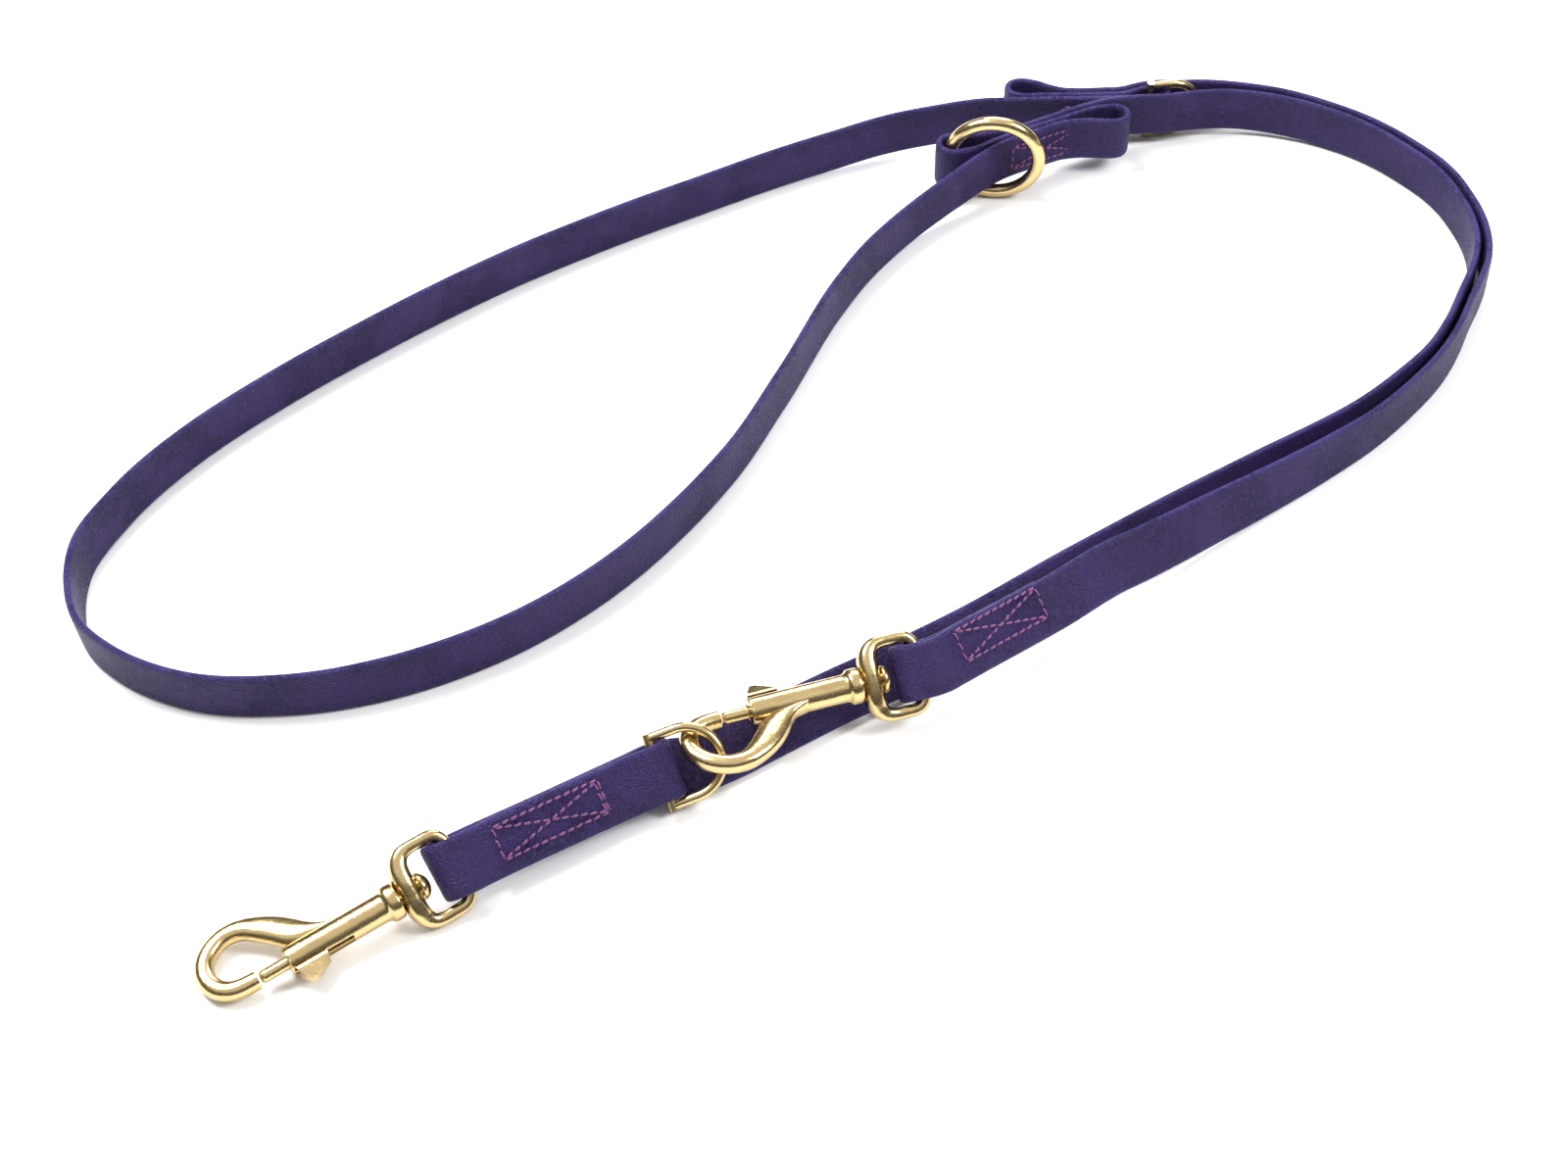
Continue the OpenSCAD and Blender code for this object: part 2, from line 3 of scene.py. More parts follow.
import bpy
import numpy as np
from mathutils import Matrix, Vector


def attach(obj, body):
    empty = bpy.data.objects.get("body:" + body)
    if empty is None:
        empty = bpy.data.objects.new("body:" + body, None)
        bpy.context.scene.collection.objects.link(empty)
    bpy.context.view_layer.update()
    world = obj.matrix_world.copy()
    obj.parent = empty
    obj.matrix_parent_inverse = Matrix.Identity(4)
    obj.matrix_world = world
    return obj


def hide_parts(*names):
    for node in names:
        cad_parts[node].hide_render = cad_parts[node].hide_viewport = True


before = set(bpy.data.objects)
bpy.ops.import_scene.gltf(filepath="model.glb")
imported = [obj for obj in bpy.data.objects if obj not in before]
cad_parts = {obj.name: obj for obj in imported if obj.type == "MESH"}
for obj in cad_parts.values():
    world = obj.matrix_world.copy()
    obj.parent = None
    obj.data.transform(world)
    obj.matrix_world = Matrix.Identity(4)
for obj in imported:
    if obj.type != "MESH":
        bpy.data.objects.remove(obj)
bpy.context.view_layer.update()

# ---- Camera -----------------------------------------------------------------
# The leash lies on a table and is seen from in front, from 45 degrees above,
# through a lens long enough to keep the far straps nearly parallel.
LAID_OUT = Vector((-0.014824, -0.048706, 0))
VIEW_DISTANCE = 0.959
view_data = bpy.data.cameras.new("camera")
view_data.lens = 63
view_data.sensor_width = 36
view_data.clip_start = 0.01
camera = bpy.data.objects.new("camera", view_data)
bpy.context.scene.collection.objects.link(camera)
camera.location = LAID_OUT + VIEW_DISTANCE * Vector((0, -np.sqrt(0.5), np.sqrt(0.5)))
camera.rotation_euler = (np.pi / 4, 0, 0)
bpy.context.scene.camera = camera

# ---- Strap ------------------------------------------------------------------
# One soft flat strap, 19 mm wide and 2.8 mm thick, with rounded edges that carry a painted highlight.
# It runs on edge along the table, lies over under the near snap, and folds
# back on itself round each ring and each snap's eye. Lengths here are in mm.
MM = 0.001
WIDE = 19
THICK = 2.8
SHIFT = np.array([*LAID_OUT]) / MM
EYE_WIRE = 4.2
D_WIRE = 3.3
RING_WIRE = 5.5
WRAP_GAP = 0.45
LAYER = THICK + 0.12
ROUND_EYE = EYE_WIRE / 2 + WRAP_GAP + THICK / 2
ROUND_D = D_WIRE / 2 + WRAP_GAP + THICK / 2
HALF_LEAN = np.radians(45)
LYING_HEIGHT = (WIDE * np.cos(HALF_LEAN) + THICK * np.sin(HALF_LEAN)) / 2 + 0.1
RING_LIFT = RING_WIRE + 2.2
D_LIFT = D_WIRE + 0.4
UP = np.array([0, 0, 1.0])


def unit(v):
    """A vector divided by its length, for one vector or for each row."""
    v = np.asarray(v, float)
    return v / np.maximum(np.linalg.norm(v, axis=-1, keepdims=True), 1e-9)


def square_to(v, a):
    """v less its part along the unit vector a, as a unit vector."""
    return unit(v - a * np.sum(v * a, axis=-1, keepdims=True))


def level(degrees):
    """A level unit vector turned by an angle from +X."""
    a = np.radians(degrees)
    return np.array([np.cos(a), np.sin(a), 0])


def leaning(degrees):
    """The width direction of a strap that lies over by 45 degrees and runs at an angle from +X."""
    along = level(degrees + 90)
    return along * np.sin(HALF_LEAN) + np.array([0, 0, np.cos(HALF_LEAN)])


def part_way(s, start, stretch):
    """0 before start, 1 after start + stretch, and a straight rise between."""
    return min(1, max(0, (s - start) / stretch))


def standing(route):
    """Route rows (x, y, lift, lean) as rows of centre and width direction: the width leans to the right of
    travel, and the centre is half a width up from the lower edge."""
    p = np.asarray(route, float)
    ahead = np.vstack([p[1:], p[-1:]])
    behind = np.vstack([p[:1], p[:-1]])
    go = unit((ahead - behind)[:, :2])
    lean = np.radians(p[:, 3])
    w = np.stack([go[:, 1] * np.sin(lean), -go[:, 0] * np.sin(lean), np.cos(lean)], axis=1)
    centre = np.column_stack([p[:, 0], p[:, 1], p[:, 2] + THICK / 2 * np.abs(np.sin(lean))]) + w * WIDE / 2
    return np.hstack([centre, w])


def halved(route):
    """Each gap of a route halved by a Catmull-Rom cubic through its four nearest points."""
    p = np.asarray(route, float)
    q = np.vstack([2 * p[0] - p[1], p, 2 * p[-1] - p[-2]])
    between = (-q[:-3] + 9 * q[1:-2] + 9 * q[2:-1] - q[3:]) / 16
    out = np.empty((2 * len(p) - 1, p.shape[1]))
    out[::2], out[1::2] = p, between
    return out


def arc(start, stop, step):
    """Angles in radians from start to stop, in degrees, both ends included."""
    return np.radians(np.arange(start, stop + step / 2, step))


# The stack at snap A: three layers, from the snap's eye to D-ring 1.
SPAN_A = 76.1
ALONG_A = level(33.2)
SNAP_A_WAY = -unit([np.cos(np.radians(33.7)), np.sin(np.radians(33.7)), 0.11])
EYE_A_WIDE = square_to(leaning(33.7), SNAP_A_WAY)
RING_1_WIDE = leaning(30)
START_A = np.array([-106, -134.2, LYING_HEIGHT + 2.1])


def wide_a(s):
    return unit(EYE_A_WIDE + (RING_1_WIDE - EYE_A_WIDE) * part_way(s, 8, SPAN_A - 12))


def out_a(s):
    return unit(np.cross(square_to(ALONG_A, wide_a(s)), wide_a(s)))


def stack_a(s, h):
    """s along the stack from the eye, h out from its lowest layer: centre and width direction."""
    drop = np.array([0, 0, 2]) * part_way(s, 0, SPAN_A)
    return np.hstack([START_A + ALONG_A * s + out_a(s) * h - drop, wide_a(s)])


round_ring_1 = [
    stack_a(SPAN_A + 1.5 + ROUND_D * np.cos(a), LAYER + ROUND_D + ROUND_D * np.sin(a)) for a in arc(-90, 90, 30)
]
round_eye_a = [stack_a(ROUND_EYE * np.cos(a), ROUND_EYE + ROUND_EYE * np.sin(a)) for a in arc(90, 270, 30)]
end_a = (
    [stack_a(s, LAYER) for s in (15, 34, 54)]
    + round_ring_1
    + [stack_a(SPAN_A - 2.6, LAYER + 2 * ROUND_D), stack_a(SPAN_A - 7, 2 * LAYER + 2.3)]
    + [stack_a(SPAN_A - 14, 2 * LAYER + 0.2)]
    + [stack_a(s, 2 * LAYER) for s in (54, 34, 15)]
    + [stack_a(9.5, 2 * LAYER + 0.7), stack_a(5.2, 2 * ROUND_EYE)]
    + round_eye_a
    + [stack_a(s, 0) for s in (5, 20, 38, 56)]
    + [stack_a(68, -0.12), stack_a(78, -0.12)]
)

# The stack at snap B: two layers, from the snap's eye back along the straps.
UPPER_B = 1.6
ALONG_B = unit(level(39) - np.array([0, 0, 0.06]))
EYE_B = np.array([44.6, -54.6, LYING_HEIGHT + 11.6 * np.cos(HALF_LEAN)])
SNAP_B_WAY = -unit([0.947, 0.338, -0.02])
EYE_B_WIDE = square_to(leaning(18.4), SNAP_B_WAY)
PAIR_WIDE = square_to(leaning(37), ALONG_B)


def wide_b(s):
    return unit(EYE_B_WIDE + (PAIR_WIDE - EYE_B_WIDE) * part_way(s, 6, 12))


def out_b(s):
    return unit(np.cross(square_to(ALONG_B, wide_b(s)), wide_b(s)))


def stack_b(s, h):
    """s back from the eye, h out from the stack's middle. It bends in plan from the snap's line to the
    straps'."""
    bend = 0 if s < 6 else (s - 6) ** 2 / 16 if s < 14 else s - 10
    centre = EYE_B - SNAP_B_WAY * (s - 2.9) + (ALONG_B + SNAP_B_WAY) * bend + out_b(s) * h
    return np.hstack([centre, wide_b(s)])


round_eye_b = [stack_b(ROUND_EYE * np.cos(a), ROUND_EYE * np.sin(a)) for a in arc(90, 270, 30)]
end_b = (
    [stack_b(s, UPPER_B) for s in (62, 54, 44, 34, 25, 16)]
    + [stack_b(9.5, ROUND_EYE - 1.1), stack_b(5.2, ROUND_EYE)]
    + round_eye_b
    + [stack_b(5.2, -ROUND_EYE), stack_b(9.5, -ROUND_EYE + 1.4)]
    + [stack_b(s, UPPER_B - LAYER) for s in (16, 25, 34, 44, 59)]
)

# The near lead leaves D-ring 1 under the snap, stands up on its edge and goes round the right end.
near_route = [
    (-22.5, -93.5, 0.2, -53), (-12, -87.4, 0.2, -55), (4, -76.6, 0.2, -54), (22, -64.4, 0.2, -50),
    (46, -49.5, 0.2, -45), (70, -33, 0.2, -45), (104, -6, 0.2, -36), (139, 22, 0.2, -22),
    (174, 50, 0.2, -9), (209.5, 77.5, 0.2, -1), (241.5, 110.5, 0.2, 0), (258.2, 141.5, 0.2, 0),
    (268.5, 166, 0.2, 0), (271, 184, 0.2, 0), (268.2, 203, 0.2, 0), (260.8, 223, 0.2, 0),
    (243, 245.4, 0.3, 0), (224.5, 258.8, 1, 0), (204.8, 266.6, 2, 0), (184.5, 268.8, 3.3, 0),
    (166, 264.4, 5.4, 0), (157, 261.5, 6.2, 0), (147, 259.6, 7.2, 0), (135, 257.2, 7.6, 0),
]  # fmt: skip

# The Z-fold round the ring: its long way runs up to the right at 27.5 degrees.
FOLD_C_ANGLE = 27.5
FOLD_C_TURN = np.radians(FOLD_C_ANGLE)
TIP_ROUND = THICK / 2 + 3.9


def fold_c(s, h):
    """s along the fold's line and h to its left, as a route row at the ring's lift."""
    c, d = np.cos(FOLD_C_TURN), np.sin(FOLD_C_TURN)
    return (104 + c * s - d * h, 236 + d * s + c * h, RING_LIFT, 0)


ring_fold_route = (
    [fold_c(s, 2 * LAYER) for s in (24, 6, -12)]
    + [(82, 232.9, RING_LIFT, 0), (75, 231.9, RING_LIFT, 0)]
    + [(67.6 + 5.35 * np.cos(a), 226.4 + 5.35 * np.sin(a), RING_LIFT, 0) for a in arc(90, 270, 30)]
    + [(x, y, RING_LIFT, 0) for x, y in ((72.5, 221.9), (76.6, 223.2), (80.1, 225.2), (84, 228))]
    + [fold_c(-12, LAYER), fold_c(6, LAYER), fold_c(20, LAYER), fold_c(27, LAYER - 0.3)]
    + [fold_c(32 + TIP_ROUND * np.cos(a), -4.4 + TIP_ROUND * np.sin(a)) for a in -arc(-80, 115, 32.5)]
    + [fold_c(24, -6), fold_c(18, -2.6), fold_c(11, -0.3), fold_c(0, 0), fold_c(-10, 0)]
    + [(91.8, 229.4, RING_LIFT, 0), (85.3, 224.7, RING_LIFT, 0)]
)

# The hand loop goes from the ring round the left end and back along the far side.
loop_route = [
    (77.2, 219, 6.2, 0), (69.5, 213.3, 4, 0), (61.5, 206.6, 2.2, 0), (52.3, 197.5, 0.8, 0),
    (41.7, 184, 0.2, 1), (32.2, 169.5, 0.2, 2), (22.2, 150, 0.2, 3), (-0.8, 94.2, 0.2, 3),
    (-18.6, 54.5, 0.2, 3), (-35.6, 26.4, 0.2, 3), (-68.4, -13.1, 0.2, 3), (-100.2, -37.6, 0.2, 3),
    (-131.9, -52.8, 0.2, 3), (-163.4, -59.8, 0.2, 0), (-196, -58, 0.2, -3), (-224, -44.5, 0.2, -5),
    (-236, -32, 0.2, -7), (-242.2, -14.4, 0.2, -8), (-243.2, 4.9, 0.2, -8), (-235, 29.7, 0.2, -6),
    (-214.8, 63.6, 0.2, -3), (-183.4, 99, 0.2, -1), (-149.8, 130.4, 0.2, 0), (-114.6, 160.2, 0.2, 0),
    (-77.6, 186.6, 0.2, 0), (-39.2, 210.2, 0.2, 0), (0.2, 233.2, 0.4, 0), (20.4, 243.2, 1, 0),
    (40.8, 252, 2, 0), (61.2, 257.6, 3, 0),
]  # fmt: skip

# The Z-fold round D-ring 2.
FOLD_D_ANGLE = 2.3
FOLD_D_TURN = np.radians(FOLD_D_ANGLE)
BAR_2 = 51.5


def fold_d(s, h):
    """s along the fold's line and h to its left, as a route row at the D-ring's lift."""
    c, d = np.cos(FOLD_D_TURN), np.sin(FOLD_D_TURN)
    return (100 + c * s - d * h, 262.3 + d * s + c * h, D_LIFT, 0)


d_fold_route = (
    [fold_d(s, 0) for s in (-20, 0, 20, 38, BAR_2)]
    + [fold_d(55.3 + (ROUND_D - 0.2) * np.cos(a), ROUND_D + ROUND_D * np.sin(a)) for a in arc(-90, 90, 30)]
    + [fold_d(BAR_2, 2 * ROUND_D), fold_d(46, 2 * ROUND_D - 1.7), fold_d(40.5, LAYER + 0.2)]
    + [fold_d(s, LAYER) for s in (34, 14, 6)]
    + [
        fold_d(-1.9 + TIP_ROUND * np.cos(a), LAYER + TIP_ROUND + 0.1 + TIP_ROUND * np.sin(a))
        for a in -arc(90, 270, 30)
    ]
    + [fold_d(5, LAYER + 2 * TIP_ROUND - 1.6), fold_d(10.5, 2 * LAYER + 2.7), fold_d(15.5, 2 * LAYER + 0.5)]
    + [fold_d(20, 2 * LAYER), fold_d(34, 2 * LAYER), fold_d(39.6, 2 * LAYER + 0.35)]
    + [fold_d(45.3, 2 * LAYER + 2.45)]
    + [fold_d(BAR_2, 2 * ROUND_D + LAYER + 0.27)]
)

# The far lead follows outside the near one, down to snap B.
far_route = [
    (165, 275.2, D_LIFT, 0), (180, 276, 3, 0), (206, 272.4, 1.5, 0), (227, 263, 0.5, 0),
    (246.4, 248.2, 0.2, 0), (265, 224.8, 0.2, 0), (272.4, 204, 0.2, 0), (275.3, 184, 0.2, 0),
    (272.8, 163.5, 0.2, 0), (262.4, 139.5, 0.2, 0), (246.5, 107.5, 0.2, 2), (215.3, 71.2, 0.2, 5),
    (175.1, 37.8, 0.2, 18), (137.6, 8.4, 1.9, 36), (119, -6.5, 4.6, 43),
]  # fmt: skip

strap_runs = {
    "strap_end_a": np.array(end_a),
    "strap_lead_near": standing(halved(near_route)),
    "strap_ring_fold": standing(ring_fold_route),
    "strap_hand_loop": standing(loop_route),
    "strap_d_fold": standing(d_fold_route),
    "strap_lead_far": standing(halved(far_route)),
    "strap_end_b": np.array(end_b),
}


def eased(rows, step):
    """Rows of numbers carried on one smooth curve: a cubic between each two rows, whose slope at a row is the
    mean of the slopes either side, weighted by the other side's length. Returns the curve's rows, one about
    every step, and the number of the curve's row at each row given."""
    gap = np.maximum(np.linalg.norm(np.diff(rows[:, :3], axis=0), axis=1), 1e-6)[:, None]
    slope = np.diff(rows, axis=0) / gap
    inner = (slope[:-1] * gap[1:] + slope[1:] * gap[:-1]) / (gap[:-1] + gap[1:])
    m = np.vstack([slope[:1], inner, slope[-1:]])
    out, marks = [], [0]
    for i in range(len(gap)):
        n = max(2, int(np.ceil(gap[i, 0] / step)))
        t = (np.arange(n) / n)[:, None]
        bend = m[i] * gap[i] * t * (1 - t) ** 2 - m[i + 1] * gap[i] * t**2 * (1 - t)
        out.append(rows[i] * (1 + 2 * t) * (1 - t) ** 2 + rows[i + 1] * t**2 * (3 - 2 * t) + bend)
        marks.append(marks[-1] + n)
    return np.vstack([*out, rows[-1:]]), marks


def strap_section(n):
    """A flat section with rounded edges, as (across, out) in mm. Its points crowd at the edges, where it
    turns."""
    a = 2 * np.pi * (np.arange(n) + 0.5) / n
    edge = np.stack([np.cos(a), np.sin(a)], axis=1) * THICK / 2 * 0.86
    flat = np.sign(np.cos(a)) * np.abs(np.cos(a)) ** 0.5 * (WIDE / 2 - THICK / 2 * 0.86)
    depth = np.sign(edge[:, 1]) * THICK / 2 * (1 - (1 - np.abs(np.sin(a))) ** 2.6)
    return np.stack([flat + edge[:, 0], depth], axis=1)


def tube_quads(rows, cols):
    """The four-sided faces of a tube, from points in rows along it and columns round it."""
    i, j = np.meshgrid(np.arange(rows - 1), np.arange(cols), indexing="ij")
    k = (j + 1) % cols
    return np.stack([i * cols + j, i * cols + k, (i + 1) * cols + k, (i + 1) * cols + j], axis=-1).reshape(-1, 4)


def write_uv(mesh, uv):
    """A UV row for each of the mesh's points, put on every corner that uses the point."""
    layer = mesh.uv_layers.new(name="UVMap")
    at = np.empty(len(mesh.loops), int)
    mesh.loops.foreach_get("vertex_index", at)
    layer.data.foreach_set("uv", uv[at].ravel())


def grid_mesh(name, points, uv=None):
    """A closed tube from a grid of points, rows along and columns round. Each end gets a face with points of
    its own, so that the end's edge stays crisp."""
    rows, cols = points.shape[:2]
    faces = tube_quads(rows, cols).tolist()
    faces += [list(range(rows * cols, (rows + 1) * cols))[::-1]]
    faces += [list(range((rows + 1) * cols, (rows + 2) * cols))]
    spots = np.vstack([points.reshape(-1, 3), points[0], points[-1]])
    mesh = bpy.data.meshes.new(name)
    mesh.from_pydata((spots * MM).tolist(), [], faces)
    if uv is not None:
        write_uv(mesh, np.concatenate([uv, uv[:1], uv[-1:]]).reshape(-1, 2))
    mesh.shade_smooth()
    obj = bpy.data.objects.new(name, mesh)
    bpy.context.scene.collection.objects.link(obj)
    return obj


whole, at_row = eased(np.vstack(list(strap_runs.values())), 1.6)
strap_centre = whole[:, :3] + SHIFT
strap_go = unit(np.gradient(strap_centre, axis=0))
strap_wide = square_to(whole[:, 3:], strap_go)
strap_out = np.cross(strap_go, strap_wide)
strap_along = np.concatenate([[0], np.cumsum(np.linalg.norm(np.diff(strap_centre, axis=0), axis=1))])
section = strap_section(36)

# Slow hand-worked unevenness: the strap strays along its width by up to a sixth of a millimetre.
sway = 0.10 * np.sin(strap_along / 23.0) + 0.07 * np.sin(strap_along / 9.1 + 1.3)
across = section[None, :, 0] * (1 + 0.004 * np.sin(strap_along / 31.0)[:, None]) + sway[:, None]
proud = section[None, :, 1] * (1 + 0.012 * np.sin(strap_along / 14.0 + 0.6)[:, None])
strap_points = (
    strap_centre[:, None] + strap_wide[:, None] * across[..., None] + strap_out[:, None] * proud[..., None]
)
strap_points[..., 2] = np.maximum(strap_points[..., 2], 0.05)
strap_uv = np.stack(
    [
        np.broadcast_to(strap_along[:, None] * MM, strap_points.shape[:2]),
        np.broadcast_to(section[None, :, 0] / WIDE + 0.5, strap_points.shape[:2]),
    ],
    axis=-1,
)

strap_pieces = {}
first = 0
for name, rows in strap_runs.items():
    last = min(first + len(rows), len(at_row) - 1)
    cut = slice(at_row[first], at_row[last] + 1)
    piece = grid_mesh(name.replace("strap", "leather"), strap_points[cut][:, ::-1], strap_uv[cut][:, ::-1])
    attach(piece, "strap")
    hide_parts(name)
    strap_pieces[name] = piece
    first = last


# ---- Strap leather ----------------------------------------------------------
# Smooth full-grain leather dyed dark violet-blue and waxed; its edges are coloured lighter as a painted
# highlight.
# Fine creases run across it in patches, and the pores show close up.
class Nodes:
    """A node tree with short ways to add a node with its values and to link sockets."""

    def __init__(self, tree):
        self.tree = tree

    def add(self, kind, values=(), **settings):
        node = self.tree.nodes.new(kind)
        for key, value in settings.items():
            setattr(node, key, value)
        for socket, value in dict(values).items():
            if isinstance(value, bpy.types.NodeSocket):
                self.tree.links.new(value, node.inputs[socket])
            else:
                node.inputs[socket].default_value = value
        return node

    def ramp(self, fac, *stops):
        """A colour ramp from (place, grey or colour) stops."""
        node = self.add("ShaderNodeValToRGB", {"Fac": fac})
        while len(node.color_ramp.elements) < len(stops):
            node.color_ramp.elements.new(0.5)
        for element, (place, colour) in zip(node.color_ramp.elements, stops):
            element.position = place
            element.color = (*colour, 1) if hasattr(colour, "__len__") else (colour, colour, colour, 1)
        return node.outputs["Color"]

    def mix(self, fac, a, b, blend="MIX"):
        node = self.add("ShaderNodeMix", data_type="RGBA", blend_type=blend)
        for socket, value in ((0, fac), (6, a), (7, b)):
            if isinstance(value, bpy.types.NodeSocket):
                self.tree.links.new(value, node.inputs[socket])
            else:
                node.inputs[socket].default_value = (*value, 1) if hasattr(value, "__len__") else value
        return node.outputs[2]

    def math(self, operation, a, b=0.0, c=0.0):
        return self.add("ShaderNodeMath", {0: a, 1: b, 2: c}, operation=operation).outputs[0]


def new_finish(name, colour, **values):
    """A material with a Principled BSDF whose constant values are set on its own sockets."""
    material = bpy.data.materials.new(name)
    material.use_nodes = True
    shader = material.node_tree.nodes["Principled BSDF"]
    shader.inputs["Base Color"].default_value = (*colour, 1)
    for socket, value in values.items():
        shader.inputs[socket.replace("_", " ")].default_value = value
    return material, Nodes(material.node_tree), shader


def new_group(name, inputs, outputs):
    """A shader node group with named inputs (name, kind, value) and outputs (name, kind)."""
    tree = bpy.data.node_groups.new(name, "ShaderNodeTree")
    for label, kind, value in inputs:
        socket = tree.interface.new_socket(label, in_out="INPUT", socket_type=kind)
        if value is not None:
            socket.default_value = value
    for label, kind in outputs:
        tree.interface.new_socket(label, in_out="OUTPUT", socket_type=kind)
    g = Nodes(tree)
    return g, g.add("NodeGroupInput").outputs, g.add("NodeGroupOutput").inputs


# Cloudiness: two sizes of soft noise on the object's own coordinates, shared by the leather and the metal.
cloud, take, give = new_group(
    "clouding",
    [("Coarse", "NodeSocketFloat", 60.0), ("Fine", "NodeSocketFloat", 400.0)],
    [("Broad", "NodeSocketFloat"), ("Close", "NodeSocketFloat")],
)
place = cloud.add("ShaderNodeTexCoord").outputs["Object"]
for scale, label in (("Coarse", "Broad"), ("Fine", "Close")):
    noise = cloud.add("ShaderNodeTexNoise", {"Vector": place, "Scale": take[scale], "Detail": 4.0})
    cloud.tree.links.new(noise.outputs["Fac"], give[label])


def clouding(n, coarse, fine):
    node = n.add("ShaderNodeGroup", node_tree=cloud.tree)
    node.inputs["Coarse"].default_value = coarse
    node.inputs["Fine"].default_value = fine
    return node.outputs["Broad"], node.outputs["Close"]


leather, n, skin = new_finish("violet_leather", (0.035, 0.022, 0.1), Roughness=0.46, Specular_IOR_Level=0.22)
broad, close = clouding(n, 45.0, 900.0)
uv_map = n.add("ShaderNodeUVMap", uv_map="UVMap").outputs["UV"]
part = n.add("ShaderNodeSeparateXYZ", {"Vector": uv_map})
# Lighter violet towards both edges across the width: a painted highlight on the rounded edges.
from_middle = n.math("ABSOLUTE", n.math("SUBTRACT", part.outputs["Y"], 0.5))
edge = n.ramp(from_middle, (0.40, 0.0), (0.485, 1.0))
dye_and_edge_highlight = n.mix(broad, (0.022, 0.010, 0.075), (0.034, 0.017, 0.105))
dye_and_edge_highlight = n.mix(n.math("MULTIPLY", close, 0.35), dye_and_edge_highlight, (0.009, 0.005, 0.032))
dye_and_edge_highlight = n.mix(n.math("MULTIPLY", edge, 0.5), dye_and_edge_highlight, (0.040, 0.028, 0.140))
n.tree.links.new(dye_and_edge_highlight, skin.inputs["Base Color"])
# creases: a stretched, warped noise on the strap's own length and width, folded to thin lines
stretch = n.add("ShaderNodeMapping", {"Vector": uv_map, "Scale": (420.0, 9.0, 1.0), "Rotation": (0, 0, 0.02)})
warp = n.add("ShaderNodeTexNoise", {"Vector": stretch.outputs[0], "Scale": 1.0, "Detail": 5.0, "Distortion": 1.6})
crease = n.ramp(n.math("ABSOLUTE", n.math("SUBTRACT", warp.outputs["Fac"], 0.5)), (0.0, 0.0), (0.06, 1.0))
patch = n.ramp(broad, (0.42, 0.0), (0.62, 1.0))
creased = n.mix(patch, (1.0, 1.0, 1.0), crease)
pores = n.add("ShaderNodeTexVoronoi", {"Vector": n.add("ShaderNodeTexCoord").outputs["Object"], "Scale": 1500.0})
height = n.math("ADD", n.math("MULTIPLY", creased, 0.7), n.math("MULTIPLY", pores.outputs["Distance"], 0.5))
height = n.math("ADD", height, n.math("MULTIPLY", close, 0.6))
bump = n.add("ShaderNodeBump", {"Height": height, "Strength": 1.0, "Distance": 0.0009})
n.tree.links.new(bump.outputs[0], skin.inputs["Normal"])
n.tree.links.new(n.ramp(close, (0.3, 0.38), (0.7, 0.54)), skin.inputs["Roughness"])
for piece in strap_pieces.values():
    piece.data.materials.append(leather)

# ---- Stitching --------------------------------------------------------------
# Each fold is sewn shut with a box and a cross of twisted bonded thread.
# The stitches sink at both ends into punched holes, drawn as flat dark discs of painted shade, on both faces of
# the stack.
THREAD = 0.8
STITCH = 3.1
BOX_WIDE = 11


def sewn_line(a, b):
    """Stitches from a to b in a face's own plane: each one's start and step."""
    a, b = np.array(a, float), np.array(b, float)
    count = max(1, int(np.linalg.norm(b - a) / STITCH))
    step = (b - a) / count
    return [(a + step * i, step) for i in range(count)]


def box_and_cross(length, width, double_end):
    """Every stitch of a box with a cross in it, its left end at 0; a doubled end is sewn over twice."""
    w = width / 2
    lines = sewn_line((0, -w), (length, -w)) + sewn_line((length, w), (0, w))
    lines += sewn_line((0, w), (0, -w)) + sewn_line((length, -w), (length, w))
    lines += sewn_line((0.6, -w + 0.4), (length - 0.6, w - 0.4))
    lines += sewn_line((0.6, w - 0.4), (length - 0.6, -w + 0.4))
    if double_end:
        lines += sewn_line((length - 1.3, w), (length - 0.9, -w))
    return lines


